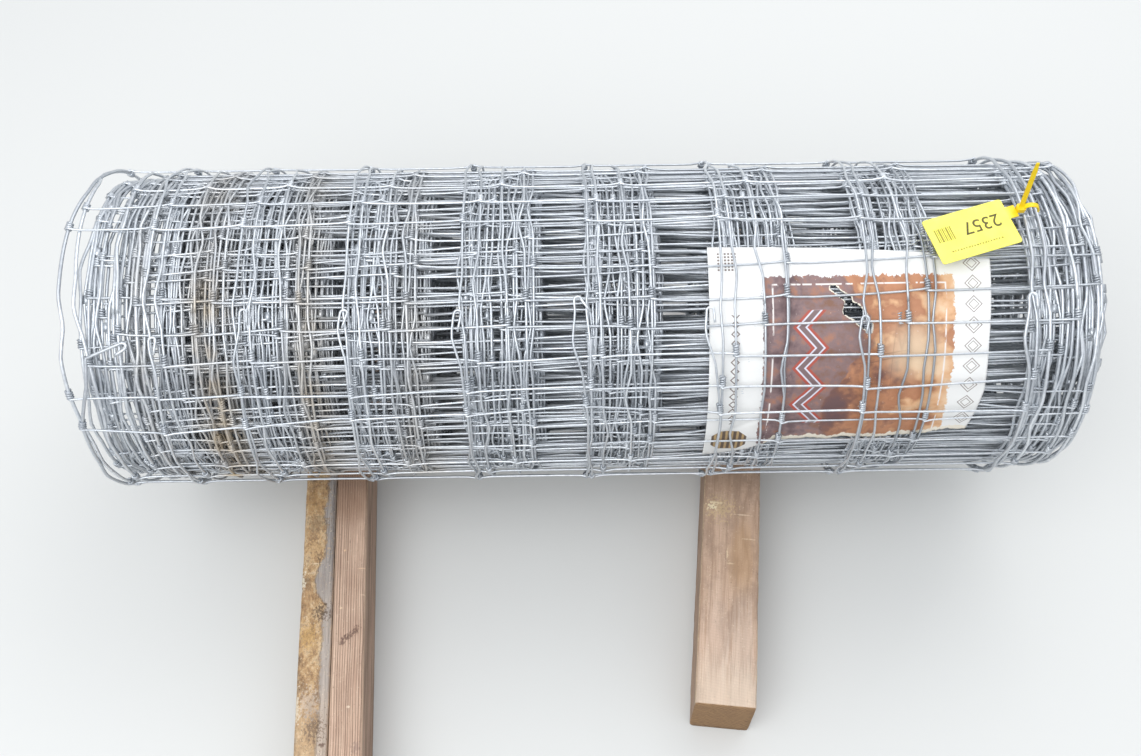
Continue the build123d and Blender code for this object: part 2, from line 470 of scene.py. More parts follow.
# The stays of some turns. A stay runs from one line wire to the next: it starts with part of a
# wrap round the first wire, passes over the turns below, and ends in a coil wound up the second.
def stays(first, last, detail):
    number = np.flatnonzero((stayTurns >= first) & (stayTurns < last))
    drawn = stayTurns[number] + turnShare(stayTurns[number], bunchAt(stayTurns[number]))
    knot = drawn[:, None] - knotJitter[number + 1] / 360
    left, right = np.arange(wireCount - 1)[None], np.arange(1, wireCount)[None]
    knotLeft, knotRight = knot[:, :-1, None], knot[:, 1:, None]
    pitch, ease = fence["coilPitch"], fence["stayEase"]
    leftCoil, rightCoil = coilRadii[left][..., None], coilRadii[right][..., None]

    share = ((1 - np.cos(np.linspace(0, np.pi, detail["runPoints"]))) / 2)[None, None]
    alongLeft, liftLeft = wireAt(left[..., None], knotLeft)
    alongRight, liftRight = wireAt(right[..., None], knotRight - turnShare(knotRight, pitch))
    runAlong = alongLeft + (alongRight - alongLeft) * share
    fromLeft, fromRight = runAlong - alongLeft, alongRight - runAlong
    runLift = (liftLeft + leftCoil) * np.exp(-fromLeft / ease)
    runLift = runLift + (liftRight + rightCoil) * np.exp(-fromRight / ease)
    dip = dipTable[number + 1][:, :-1, None] * (1 - (2 * share - 1) ** 4)
    runTurn = knotLeft + (knotRight - knotLeft) * share
    runTurn = runTurn + turnShare(runTurn, dip - pitch * share)
    run = (runTurn, runAlong, runLift, outwardAt(runTurn))
    parts = [run]

    if detail["wraps"]:
        perWrap, startWraps, endWraps = detail["wrapPoints"], fence["startWraps"], fence["coilWraps"]
        startWind = np.linspace(-2 * np.pi * startWraps, 0, int(startWraps * perWrap) + 1)[:-1][None, None]
        parts.insert(0, coilAround(left[..., None], knotLeft, startWind, 0, leftCoil))
        endWind = np.linspace(0, 2 * np.pi * endWraps, int(endWraps * perWrap) + 1)[1:][None, None]
        parts.append(coilAround(right[..., None], knotRight, endWind, pitch, rightCoil))
    whole = [[np.broadcast_to(value, part[0].shape + value.shape[3:]) for value in part] for part in parts]
    merged = [np.concatenate(pieces, axis=2) for pieces in zip(*whole)]
    wound = np.concatenate([np.full(part[0].shape[2], part is not run) for part in parts])
    sets = [tubesAt(*merged, detail["stayRadius"], detail["stayCorners"], number, wound)]

    if detail["wraps"]:
        mostWraps, fewestWraps = fence["edgeWraps"]
        edgeWind = np.linspace(-2 * np.pi * mostWraps, -2 * np.pi * fewestWraps,
                               int((mostWraps - fewestWraps) * perWrap) + 1)[None, None]
        edge = coilAround(np.zeros((1, 1, 1), int), knot[:, :1, None], edgeWind, 0, coilRadii[0])
        sets.append(tubesAt(*edge, detail["stayRadius"], detail["stayCorners"], number, 1))
    else:
        # Deep in the roll a knot is a plain sleeve on its wire
        wire = np.arange(wireCount)[None, :, None]
        coilTurn = knot[..., None] - turnShare(knot[..., None], np.array(detail["coilRise"]) * millimetre)
        along, lift = wireAt(wire, coilTurn)
        thick = np.interp(detail["coilRise"], fence["sleeve"], (0, 1, 1, 0)) * 2 * fence["stayRadius"]
        thick = np.broadcast_to(wireRadii[:, None] + thick, coilTurn.shape)
        outward, corners = outwardAt(coilTurn), detail["coilCorners"]
        sets.append(tubesAt(coilTurn, along, lift, outward, thick, corners, number, 1))
    return sets


# A helix round a line wire: it goes round by the winding angle and up the wire a pitch each wrap
def coilAround(wire, knot, wind, base, radius):
    rise = base + fence["coilPitch"] * np.abs(wind) / (2 * np.pi)
    turn = knot - turnShare(knot, rise)
    along, lift = wireAt(wire, turn)
    side = np.cos(wind)[..., None] * outwardAt(turn) + np.sin(wind)[..., None] * np.array([1.0, 0, 0])
    return turn, along + radius * np.sin(wind), lift + radius * np.cos(wind), side


# Tubes along paths given as places on the roll, with a tone for each stay, duller where it is
# wound round a line wire
def tubesAt(turn, along, lift, side, radius, corners, number, wound):
    perStay, steps = turn.shape[1:]
    paths = onRoll(turn, along, lift).reshape(-1, steps, 3)
    sides = np.broadcast_to(side, turn.shape + (3,)).reshape(-1, steps, 3)
    wide = np.broadcast_to(radius, turn.shape).reshape(-1, steps)
    points, quads, caps = roundBars(paths, sides, wide, corners)
    tone = toneTable[number + 1][:, :perStay, None] + fence["woundTone"] * wound
    tone = np.repeat(np.broadcast_to(tone, turn.shape).ravel(), corners)
    stain = np.repeat(stainAt(turn, along).ravel(), corners)
    return points, quads, caps, {"tone": tone, "stain": stain}


def makeWireMaterial():
    # Hot-dip galvanised steel wire: a light bluish grey that is half bright and half dull, with a
    # grey tone that varies at random, is deeper in the knots and is painted shade on the loose wires over the
    # label, and a tan bloom where it has begun to rust
    material, add = newMaterial("galvanised_steel_wire_hot_dipped")
    place = add("TexCoord", out="Object")
    tone, stain = (add("Attribute", out="Fac", attribute_name=name) for name in ("tone", "stain"))
    spangle = add("TexNoise", place, byName={"Scale": 160.0, "Detail": 4.0, "Roughness": 0.65})  # 6 mm across
    patches = add("TexNoise", place, byName={"Scale": 22.0, "Detail": 5.0, "Roughness": 0.6})  # 45 mm across
    zinc = add("ValToRGB", spangle, stops=((0.3, "#ccd1d7"), (0.5, "#dfe4e9"), (0.72, "#f3f6f9")))
    # The tone greys the zinc: at random, in the knots, and as painted shade on the loose wires over the label
    dull = add("Mix RGBA", add("Math MULTIPLY", tone, 0.6), zinc, "#a7adb4")
    tan = add("ValToRGB", patches, stops=((0.35, "#98805f"), (0.6, "#bda987")))
    bloom = add("Clamp", add("Math MULTIPLY", stain, add("Math MULTIPLY_ADD", patches, 2.5, -0.72)))
    colour = add("Mix RGBA", bloom, dull, tan)
    rough = add("Math MULTIPLY_ADD", bloom, 0.3, add("Math MULTIPLY_ADD", spangle, 0.18, 0.28))
    bump = add("Bump", byName={"Height": spangle, "Strength": 0.08, "Distance": 0.3 * millimetre})
    add("OutputMaterial", add("BsdfPrincipled", byName={
        "Base Color": colour, "Roughness": rough, "Normal": bump, "Metallic": 0.65}))
    return material


# How finely each depth of the roll is made: points a turn ("steps"), corners of a wire's section,
# points of a stay's run and of a wrap, and whether its knots are wound or plain sleeves. A sleeve
# has its own corners, and its rings are at "coilRise".
nearDetail = {"steps": 150, "wireCorners": 6, "stayCorners": 5, "stayRadius": fence["stayRadius"],
              "runPoints": 11, "wraps": True, "wrapPoints": 6}
closeDetail = {"steps": 110, "wireCorners": 5, "stayCorners": 4, "stayRadius": fence["stayRadius"],
               "runPoints": 8, "wraps": True, "wrapPoints": 5}
midDetail = {"steps": 64, "wireCorners": 5, "stayCorners": 4, "stayRadius": fence["stayRadius"],
             "runPoints": 6, "wraps": False, "coilCorners": 5, "coilRise": fence["sleeve"]}
deepDetail = {"steps": 28, "wireCorners": 4, "stayCorners": 4, "stayRadius": fence["innerStayRadius"],
              "runPoints": 3, "wraps": False, "coilCorners": 4, "coilRise": fence["sleeve"][1:3]}

wireMaterial = makeWireMaterial()
for name, first, last, detail in (
    ("fence_turns_outermost", 0, 3, nearDetail),
    ("fence_turns_outer", 3, 10, closeDetail),
    ("fence_turns_under", 10, 18, closeDetail),
    ("fence_turns_middle", 18, 32, midDetail),
    ("fence_turns_inner", 32, fence["turns"], deepDetail),
):
    mesh = joinBars(name, [lineWires(first, last, detail), *stays(first, last, detail)])
    addPiece(name, mesh, wireMaterial, "galvanised_wire", "mesh_roll")
    print(name, "has", sum(len(face.vertices) - 2 for face in mesh.polygons), "triangles")

# The paper label, as (place along the roll in mm, angle) round its outline. It lies under the
# loose turns, its lower edge is torn, and a slanting tear near its top has opened.
label = {
    "radius": 170.4 * millimetre,
    "thickness": 0.3 * millimetre,
    "grid": 2.0 * millimetre,
    "reach": (295 * millimetre, 89),  # what the grid is made for: along the roll, and degrees round it
    "corner": (643.5, -7.5),  # where its print is measured from
    "width": 291,
    "leftEdge": ((-7.5, 644.6), (20, 644.2), (50, 643.2), (81.3, 643.5)),
    "rightEdge": ((8.3, 926.4), (18, 932), (27.5, 936.2), (46.3, 935.2), (76.5, 938.5)),
    "bottomEdge": ((643, -7.5), (668, -5.6), (693, -2.6), (712, 1.6), (719, 4.4), (740, 4.0), (760, 4.6),
                   (781, 3.8), (803, 5.1), (835, 5.0), (868, 6.2), (893, 6.6), (912, 8.6), (927, 8.3)),
    "topEdge": ((643.5, 81.3), (760, 80.6), (938.5, 76.5)),
    "raggedFrom": 712,  # the lower edge is smooth up to here
    "ragged": (0.1, 0.9),  # degrees that the smooth and the torn part of that edge waver
    "raggedStep": 3,
    "fibresFrom": 66 * millimetre,  # how far along the label its lower edge starts to show bare fibres
    "tearFrom": (771, 66.5),
    "tearTo": (812, 49.5),
    "tearWidth": 6.2 * millimetre,
    "tearWavers": (9, 7 * millimetre),  # how many times the tear wavers, and how far
    "tearSwells": 6,  # how many times it widens
    "bundles": (686, 843),  # where bundles of line wires lie under it
    "bundleWidth": 88,
    "sag": 1.3 * millimetre,  # between the bundles
    "buckles": (1.0 * millimetre, 31 * millimetre, 42 * millimetre),  # how high, and their size both ways
    "creases": (0.5 * millimetre, 11 * millimetre, 16 * millimetre),
    "creaseSlant": 50 * millimetre,
    # A fold across its lower left corner: how deep and how wide it is, and where it runs
    "fold": {"depth": 0.8 * millimetre, "half": 3.5 * millimetre, "slope": 0.62, "from": 35 * millimetre,
             "to": 100 * millimetre},
    "curl": (2.3 * millimetre, 4.5 * millimetre),  # how high the tear's edge stands, and how soon it fades
    "fibres": (11 * millimetre, 2.2 * millimetre),  # how far they show in from the torn edge and the tear
    "seeds": (5, 8, 9, 21, 22),  # of the ragged edge, the tear's wavers and swells, buckles and creases
}


# The label's surface is a grid stretched between its four edges and bent to the roll. It sags
# between the bundles of wires under it, is creased at random, and curls up along its tear.
def makeLabel():
    edges = {key: np.array(label[key]).T for key in ("leftEdge", "rightEdge", "bottomEdge", "topEdge")}
    raggedSeed, waverSeed, swellSeed, buckleSeed, creaseSeed = label["seeds"]
    arc = label["radius"] * np.pi / 180  # metres a degree
    across = int(label["reach"][0] / label["grid"]) + 1
    upwards = int(label["reach"][1] * arc / label["grid"]) + 1
    s, t = np.meshgrid(np.linspace(0, 1, across), np.linspace(0, 1, upwards), indexing="ij")
    cornerAlong, cornerUp = label["corner"]
    guess = cornerAlong + label["width"] * s
    low, high = np.interp(guess, *edges["bottomEdge"]), np.interp(guess, *edges["topEdge"])
    smooth, ragged = label["ragged"]
    rough = np.where(guess > label["raggedFrom"], ragged, smooth)
    low = low + rough * (hills(guess / label["raggedStep"], 0 * guess, raggedSeed) - 0.5)
    angle = low + (high - low) * t
    left, right = np.interp(angle, *edges["leftEdge"]), np.interp(angle, *edges["rightEdge"])
    along = (left + (right - left) * s) * millimetre

    # The tear: a lens between its two ends, with ragged sides. Points near a side move on to it.
    start, end = (np.array([place * millimetre, degreesUp * arc]) for place, degreesUp in
                  (label["tearFrom"], label["tearTo"]))
    length = np.linalg.norm(end - start)
    way = (end - start) / length
    fromStart = np.stack([along - start[0], angle * arc - start[1]], axis=-1)
    share = fromStart @ way / length
    side = fromStart @ np.array([-way[1], way[0]])
    inside = (share > 0) & (share < 1)
    wavers, waverSize = label["tearWavers"]
    lens = np.sqrt(np.clip(4 * share * (1 - share), 0, 1))
    half = label["tearWidth"] * lens * (0.5 + hills(share * label["tearSwells"], 0 * share + 3, swellSeed))
    beyond = side - (hills(share * wavers, 0 * share, waverSeed) - 0.5) * waverSize
    near = inside & (np.abs(np.abs(beyond) - half) < label["grid"] * 0.55)
    shift = np.where(near, np.sign(beyond) * half - beyond, 0)
    along = along + shift * -way[1]
    angle = angle + shift * way[0] / arc
    beyond = beyond + shift

    u, v = along - cornerAlong * millimetre, (angle - cornerUp) * arc
    nearBundle = sum(np.exp(-(np.abs(along / millimetre - middle) / (label["bundleWidth"] / 2)) ** 6)
                     for middle in label["bundles"])
    lift = -label["sag"] * (1 - np.clip(nearBundle, 0, 1))
    deep, wide, tall = label["buckles"]
    lift += deep * (hills(u / wide, v / tall, buckleSeed) - 0.5)
    deep, wide, tall = label["creases"]
    lift += deep * (hills(u / wide + v / label["creaseSlant"], v / tall, creaseSeed) - 0.5)
    fold = label["fold"]
    fromFold = (v - fold["slope"] * u - fold["from"]) / fold["half"]
    lift -= fold["depth"] * np.exp(-fromFold ** 2) * (u < fold["to"])
    curl, fade = label["curl"]
    curled = np.where(inside & (beyond > 0), np.exp(-(beyond - half) / fade), 0)
    lift += curl * curled * np.clip(3 * share * (1 - share), 0, 1)
    points = aboutRoll(along, label["radius"] + lift, np.radians(angle))

    # The squares of the grid, without those in the tear
    index = np.arange(across * upwards).reshape(across, upwards)
    corners = [index[:-1, :-1], index[1:, :-1], index[1:, 1:], index[:-1, 1:]]
    quads = np.stack(corners, axis=-1).reshape(-1, 4)
    inTear = inside & (np.abs(beyond) < half * 0.999 - 1e-6)
    gone = inTear.ravel()[quads].any(axis=1)
    middle = np.abs(beyond.ravel()[quads].mean(axis=1)) < half.ravel()[quads].mean(axis=1) * 0.98
    quads = quads[~(gone | (middle & inside.ravel()[quads].all(axis=1)))]
    used, fresh = np.unique(quads, return_inverse=True)
    quads = fresh.reshape(-1, 4)
    edgeFibres, tearFibres = label["fibres"]
    belowEdge = np.where(u > label["fibresFrom"], (angle - low) * arc, 1)
    atTear = np.where(inside, np.abs(beyond) - half, 1)
    torn = np.clip(1 - np.minimum(belowEdge / edgeFibres, atTear / tearFibres), 0, 1)
    mesh = meshFromArrays("paper_label_torn", points.reshape(-1, 3)[used], [quads],
                          attributes={"torn": torn.ravel()[used]})
    uv = mesh.uv_layers.new(name="flat")
    flat = np.stack([u, v], axis=-1).reshape(-1, 2)[used]
    uv.data.foreach_set("uv", flat[quads.ravel()].ravel().astype(np.float32))
    piece = addPiece("paper_label_torn", mesh, makeLabelMaterial(), "label_paper", "paper_label")
    wall = piece.modifiers.new("thickness", "SOLIDIFY")
    wall.thickness = label["thickness"]
    wall.offset = 1


# What is printed on the label, in millimetres from its lower left corner. A span is a middle and
# half a width.
labelPrint = {
    "panel": ((156.0, 99.0), (128.0, 102.0)),
    "brushed": (9.0, 15.0, -12.0),  # how far fine and brushed roughness move its edge, and a shift back
    "sky": ((0.0, "#6a5050"), (0.22, "#80594c"), (0.42, "#ba8462"), (0.6, "#b07a5a"), (0.75, "#d9ab82"),
            (1.0, "#e6c7a6")),
    "glowAt": (214.0, 150.0, 0.0),
    "glowReach": (44.0, 6.0),
    "glow": "#e6cdae",
    # Two ranges of hills: how high one stands, its swing, its period, its shift and its colour
    "hills": ((142, 20, 31, 2.4, "#84604f"), (108, 17, 22, 0.6, "#665154")),
    "hillShades": ((0.52, "#877070"), (0.66, "#a47560")),
    "zigzag": (22.0, 0.9, 96.0),  # its half period, its slope and where it starts
    "zigzagSpan": (128.0, 66.0),
    "zigzagBands": ((9.5, "#ad5446"), (5.6, "#d9dae6"), (3.4, "#7d6869")),
    "line": (-9.0, 0.8),  # from the panel's edge
    "white": "#ece6e2",
    "paper": ("#f3f3f1", "#e6e7e6"),
    "fibres": ("#f6f3ea", "#e2d6bd"),
    "diamonds": (275.0, 11.0),  # the middle and half the step of a row of diamonds
    "diamondSizes": ((8.6, 0.55), (5.2, 0.45)),
    "chain": (27.0, 5.0),
    "chainSize": (4.0, 0.75),
    "plaque": ((27.0, 19.0), (33.0, 17.0)),
    "dots": ((19.0, 10.5), (246.0, 11.0)),
    "inks": ("#7d6f67", "#6b5952", "#5f5044", "#b99d72"),
    "crumpled": ((176.0, 20.0, 16.0), (138.0, 34.0, 20.0)),
    # the colour of the painted shade in the creases
    "creaseShade": "#4c3a3c",
}


def makeLabelMaterial():
    # Coated label paper, printed in four colours: a soft white with a faint sheen, a brown and
    # orange panel whose ink has a rough brushed edge, and painted shade in the creases where it is crumpled
    material, add = newMaterial("coated_label_paper_printed")
    flat = add("VectorMath SCALE", add("UVMap", uv_map="flat"), 1000.0)
    u, v, _ = add("SeparateXYZ", flat).node.outputs

    # A cloudy pattern whose patches are this many millimetres across
    def cloud(size, detail=4.0, stretch=(1, 1, 1)):
        return add("TexNoise", add("VectorMath MULTIPLY", flat, stretch), 1 / size, detail, 0.6)

    def awayFrom(value, middle):
        return add("Math ABSOLUTE", add("Math SUBTRACT", value, middle))

    # 1 where every value lies in its span, and 0 elsewhere. A span is a value, its middle, half its
    # width, and how soft its edge is.
    def within(*spans):
        shares = [add("MapRange", awayFrom(value, middle), half + soft, half - soft)
                  for value, middle, half, soft in ((*span, 0.4)[:4] for span in spans)]
        return reduce(partial(add, "Math MULTIPLY"), shares)

    # How far a place is from the middles of a row of diamonds, measured along both axes together
    def diamonds(middle, step):
        return add("Math ADD", awayFrom(u, middle), add("Math PINGPONG", v, step))

    blotches, fine, brushed = cloud(48, 3.0), cloud(3.2, 5.0), cloud(9, 5.0, (1, 0.3, 1))
    fromPanel = add("Math MAXIMUM", *(add("Math SUBTRACT", awayFrom(value, middle), half)
                                      for value, (middle, half) in zip((u, v), labelPrint["panel"])))
    fineShare, brushedShare, inset = labelPrint["brushed"]
    edge = add("Math MULTIPLY_ADD", brushed, brushedShare, add("Math ADD", fromPanel, inset))
    panel = add("MapRange", add("Math MULTIPLY_ADD", fine, fineShare, edge), 0.5, -0.5)

    # The panel's picture: two ranges of hills under a cloudy sky with a pale glow
    cloudy = add("Math MULTIPLY_ADD", cloud(26, 6.0), 0.5, add("Math MULTIPLY_ADD", blotches, 0.9,
                                                               add("Math MULTIPLY", u, 0.0025)))
    picture = add("ValToRGB", add("MapRange", cloudy, 0.93, 1.42), stops=labelPrint["sky"])
    fromGlow = add("VectorMath DISTANCE", flat, labelPrint["glowAt"])
    glow = add("MapRange SMOOTHSTEP", fromGlow, *labelPrint["glowReach"], 0.0, 0.8)
    picture = add("Mix RGBA", glow, picture, labelPrint["glow"])
    for base, swing, period, shift, colour in labelPrint["hills"]:
        wave = add("Math SINE", add("Math MULTIPLY_ADD", v, 1 / period, shift))
        crest = add("Math MULTIPLY_ADD", wave, swing, base - 30.0)
        crest = add("Math MULTIPLY_ADD", blotches, 60.0, crest)
        under = add("MapRange", add("Math SUBTRACT", u, crest), 1.5, -1.5)
        shade = add("ValToRGB", cloud(17, 7.0), stops=((0.36, colour), *labelPrint["hillShades"]))
        picture = add("Mix RGBA", under, picture, shade)

    # A red and white zigzag across the hills, and a broken white line just inside the panel's edge
    halfPeriod, slope, start = labelPrint["zigzag"]
    teeth = add("Math MULTIPLY_ADD", add("Math PINGPONG", v, halfPeriod), slope, start)
    for half, colour in labelPrint["zigzagBands"]:
        band = within((add("Math SUBTRACT", teeth, u), 0.0, half), (v, *labelPrint["zigzagSpan"]))
        picture = add("Mix RGBA", band, picture, colour)
    line = within((fromPanel, *labelPrint["line"]), (brushed, 0.56, 0.11, 0.01))
    flecks = add("MapRange", fine, 0.69, 0.72)
    picture = add("Mix RGBA", add("Math MAXIMUM", line, flecks), picture, labelPrint["white"])

    # The margins: two rows of open diamonds, a striped plaque, and a square of dots
    rowMiddle, chainMiddle = labelPrint["diamonds"][0], labelPrint["chain"][0]
    (plaqueU, plaqueHalfU), (plaqueV, plaqueHalfV) = labelPrint["plaque"]
    large, narrow = diamonds(*labelPrint["diamonds"]), diamonds(*labelPrint["chain"])
    rings = add("Math MAXIMUM", *(within((large, *size)) for size in labelPrint["diamondSizes"]))
    row = add("Math MULTIPLY", rings, within((u, rowMiddle, 9.5)))
    chain = within((narrow, *labelPrint["chainSize"]), (u, chainMiddle, 5.4), (v, 126.0, 64.0))
    fromPlaque = add("Math ADD", awayFrom(u, plaqueU), awayFrom(v, plaqueV))
    plaque = within((u, plaqueU, plaqueHalfU), (v, plaqueV, plaqueHalfV), (fromPlaque, 0.0, 27.0))
    stripes = add("Math MULTIPLY", plaque, within((add("Math PINGPONG", u, 3.0), 0.0, 1.3)))
    dotV, dotU = (add("Math PINGPONG", value, 1.8) for value in (v, u))
    dotsU, dotsV = labelPrint["dots"]
    dots = within((dotV, 0.0, 1.0), (dotU, 0.0, 1.0), (u, *dotsU), (v, *dotsV))
    printed = add("Mix RGBA", blotches, *labelPrint["paper"])
    for pattern, ink in zip((row, add("Math MAXIMUM", chain, dots), plaque, stripes), labelPrint["inks"]):
        printed = add("Mix RGBA", pattern, printed, ink)
    colour = add("Mix RGBA", panel, printed, picture)

    # Bare fibres at the torn edges, and painted shade in the creases where it is crumpled
    torn = add("Attribute", out="Fac", attribute_name="torn")
    bare = add("MapRange", add("Math MULTIPLY_ADD", brushed, 1.1, torn), 0.95, 1.05)
    colour = add("Mix RGBA", bare, colour, add("Mix RGBA", fine, *labelPrint["fibres"]))
    crease = add("Math MAXIMUM", within((cloud(34, 2.0, (1, 0.16, 1)), 0.5, 0.008, 0.012)),
                 within((cloud(30, 2.0, (0.2, 1, 1)), 0.47, 0.008, 0.012)))
    crumpledU, crumpledV = labelPrint["crumpled"]
    crease = add("Math MULTIPLY", crease, within((u, *crumpledU), (v, *crumpledV)))
    # Painted shade: the crease lines are darkened
    colour = add("Mix RGBA", add("Math MULTIPLY", crease, 0.55), colour, labelPrint["creaseShade"])
    relief = add("Math MULTIPLY_ADD", crease, -0.8, fine)
    bump = add("Bump", byName={"Height": relief, "Strength": 0.25, "Distance": 0.4 * millimetre})
    add("OutputMaterial", add("BsdfPrincipled", byName={
        "Base Color": colour, "Normal": bump, "Roughness": 0.48, "IOR": 1.5}))
    return material


makeLabel()
print("The label is on")

# The lot tag keeps its CAD shape. Its print is a plain number and a block of bars, upside down
# as it hangs. Places are millimetres on the tag from its middle.
tag = {
    "middle": 917 * millimetre,
    "angle": 82.5,
    "turn": 17,
    "radius": 187.3 * millimetre,
    "thickness": 1.2 * millimetre,
    "strapFrom": (43.0, 50.0),  # where the plate's colour turns into the strap's
    "plate": ("#f3e94e", "#faf17a"),
    "strap": "#f0cd12",
    "inkUnder": 0.02 * millimetre,  # how deep the ink goes into the plate
    "inkOver": 0.06 * millimetre,  # how high it stands
    "number": "2357",
    "numberSize": 21,
    "numberAt": (13.5, 5.5),
    "numberThickness": 0.05 * millimetre,
    "numberBold": 0.1 * millimetre,
    "barsFrom": (-38, -3),
    "barsHeight": 16,
    "barWidths": (1.4, 0.7, 2.0, 0.7, 1.2, 0.6, 1.7, 0.8, 1.3),
    "barGap": 1.0,
    "dashesFrom": (-30, -17),
    "dashes": 19,
    "dashStep": 3.1,
    "dashWidths": (2.2, 1.5, 1.5),  # they come round in threes
    "dashHeight": 1.6,
}
tagPlace = (
    Matrix.Translation((edgeX, axisY, axisZ))
    @ Matrix.Rotation(math.radians(90 - tag["angle"]), 4, "X")
    @ Matrix.Translation((tag["middle"], 0, tag["radius"]))
    @ Matrix.Rotation(math.radians(tag["turn"]), 4, "Z")
)


def makeTagMaterial():
    # Polyethylene, injection moulded: a soft even sheen, with the thin plate paler than the strap,
    # whose plastic is thicker and shows a deeper yellow
    material, add = newMaterial("moulded_polyethylene_tag")
    place = add("TexCoord", out="Object")
    alongTag = add("SeparateXYZ", ownPlaces(add, tagPlace))
    cloud, grain = add("TexNoise", place, 60.0, 3.0), add("TexNoise", place, 900.0, 2.0)
    strap = add("MapRange", alongTag, *tag["strapFrom"])
    colour = add("Mix RGBA", strap, add("Mix RGBA", cloud, *tag["plate"]), tag["strap"])
    bump = add("Bump", byName={"Height": grain, "Strength": 0.1, "Distance": 0.2 * millimetre})
    rough = add("Math MULTIPLY_ADD", cloud, 0.15, 0.34)
    add("OutputMaterial", add("BsdfPrincipled", byName={
        "Base Color": colour, "Normal": bump, "Roughness": rough, "IOR": 1.5,
        "Subsurface Weight": 0.1, "Subsurface Scale": 4 * millimetre}))
    return material


def makeInk(name, scale, stops):
    # Thermal transfer print: a thin matt film of ink, a little uneven where the ribbon was worn
    material, add = newMaterial(name)
    wear = add("TexNoise", add("TexCoord", out="Object"), scale, 3.0)
    ink = add("ValToRGB", wear, stops=stops)
    add("OutputMaterial", add("BsdfPrincipled", byName={"Base Color": ink, "Roughness": 0.6}))
    return material


# Small flat blocks as one mesh, from their low and high corners
def blocks(lows, highs):
    corners = np.array([[x, y, z] for x in (0, 1) for y in (0, 1) for z in (0, 1)])
    points = lows[:, None] + (highs - lows)[:, None] * corners
    sides = np.array([[0, 1, 3, 2], [4, 6, 7, 5], [0, 4, 5, 1], [2, 3, 7, 6], [0, 2, 6, 4], [1, 5, 7, 3]])
    faces = np.arange(len(lows))[:, None, None] * 8 + sides
    return points.reshape(-1, 3), faces.reshape(-1, 4)


def makeTagNumber():
    curve = bpy.data.curves.new("tag_number", "FONT")
    curve.body = tag["number"]
    curve.size = tag["numberSize"] * millimetre
    curve.align_x, curve.align_y = "CENTER", "CENTER"
    curve.extrude = tag["numberThickness"]
    curve.offset = tag["numberBold"]
    text = newObject("tag_number", curve)
    bpy.context.view_layer.update()
    mesh = bpy.data.meshes.new_from_object(text)
    bpy.data.objects.remove(text)
    x, y = (place * millimetre for place in tag["numberAt"])
    onTag = Matrix.Translation((x, y, tag["thickness"] + tag["inkOver"]))
    mesh.transform(tagPlace @ onTag @ Matrix.Rotation(math.pi, 4, "Z"))
    mesh.materials.clear()
    ink = makeInk("thermal_print_dark", 700.0, ((0.35, "#4a4420"), (0.7, "#6a6230")))
    addPiece("tag_number", mesh, ink, "tag_plastic")


# The bars stand side by side, and the dashes in a row. Each is a place and its width and height.
def makeTagBars():
    barX, barY = tag["barsFrom"]
    starts = np.concatenate([[0], np.cumsum(np.array(tag["barWidths"]) + tag["barGap"])[:-1]]) + barX
    bars = [(start, barY, width, tag["barsHeight"]) for start, width in zip(starts, tag["barWidths"])]
    dashX, dashY = tag["dashesFrom"]
    dashes = [(dashX + number * tag["dashStep"], dashY, tag["dashWidths"][number % 3], tag["dashHeight"])
              for number in range(tag["dashes"])]
    x, y, width, height = np.array(bars + dashes).T * millimetre
    lows = np.stack([x, y, 0 * x + tag["thickness"] - tag["inkUnder"]], axis=-1)
    highs = np.stack([x + width, y + height, 0 * x + tag["thickness"] + tag["inkOver"]], axis=-1)
    points, faces = blocks(lows, highs)
    mesh = meshFromArrays("tag_bars", laidBy(tagPlace, points), [faces], smooth=False)
    ink = makeInk("thermal_print_faint", 500.0, ((0.3, "#8b8128"), (0.7, "#a89e3c")))
    addPiece("tag_bars", mesh, ink, "tag_plastic")


frame["nodes"]["lot_tag"].data.materials.clear()
frame["nodes"]["lot_tag"].data.materials.append(makeTagMaterial())
makeTagNumber()
makeTagBars()
print("The tag is printed")

# The bearers. Each one's section is a worn rounded rectangle carried along its length; "turn" is
# in degrees, "front" is how far it reaches in front of the roll's axis, and sizes are in mm.
bearers = {
    "bearer_board_outer": {"size": (38, 914, 89), "middle": 199.3, "beside": -19.3, "turn": 3, "front": 530,
                           "round": 3.2, "wear": 1.4, "slot": "weathered_board", "seed": 31},
    "bearer_board_inner": {"size": (38, 914, 89), "middle": 199.3, "beside": 19.3, "turn": 3, "front": 530,
                           "round": 3.0, "wear": 0.6, "slot": "weathered_board", "seed": 32},
    "bearer_timber": {"size": (70, 800, 89), "middle": 715, "beside": 0, "turn": -6.5, "front": 405,
                      "round": 2.0, "wear": 1.1, "slot": "sawn_timber", "seed": 33},
}

# How a bearer's mesh is made, and how its surface is worn
bearerMesh = {
    "cornerPoints": 6,
    "ringPoints": 96,
    "stations": 180,
    "endRound": 1.5 * millimetre,  # from the end to the first full ring
    "endShares": (0.02, 0.25, 0.5, 0.75, 0.97, 0.985),  # the sizes of the rings that close an end
    "endDepths": (0, 0, 0, 0, 0, 0.6 * millimetre),
    # How long and wide chips and dents on the corners and waves on the faces are, and how deep
    "chips": (12 * millimetre, 50 * millimetre, 1.2),
    "dents": (50 * millimetre, 50 * millimetre, 0.9),
    "waves": (70 * millimetre, 11 * millimetre, 0.25),
}


def bearerPlace(facts):
    length, height = facts["size"][1:]
    middle = Vector((facts["beside"], length / 2 - facts["front"], height / 2)) * millimetre
    return (
        Matrix.Translation((edgeX + facts["middle"] * millimetre, axisY, 0))
        @ Matrix.Rotation(math.radians(facts["turn"]), 4, "Z")
        @ Matrix.Translation(middle)
    )


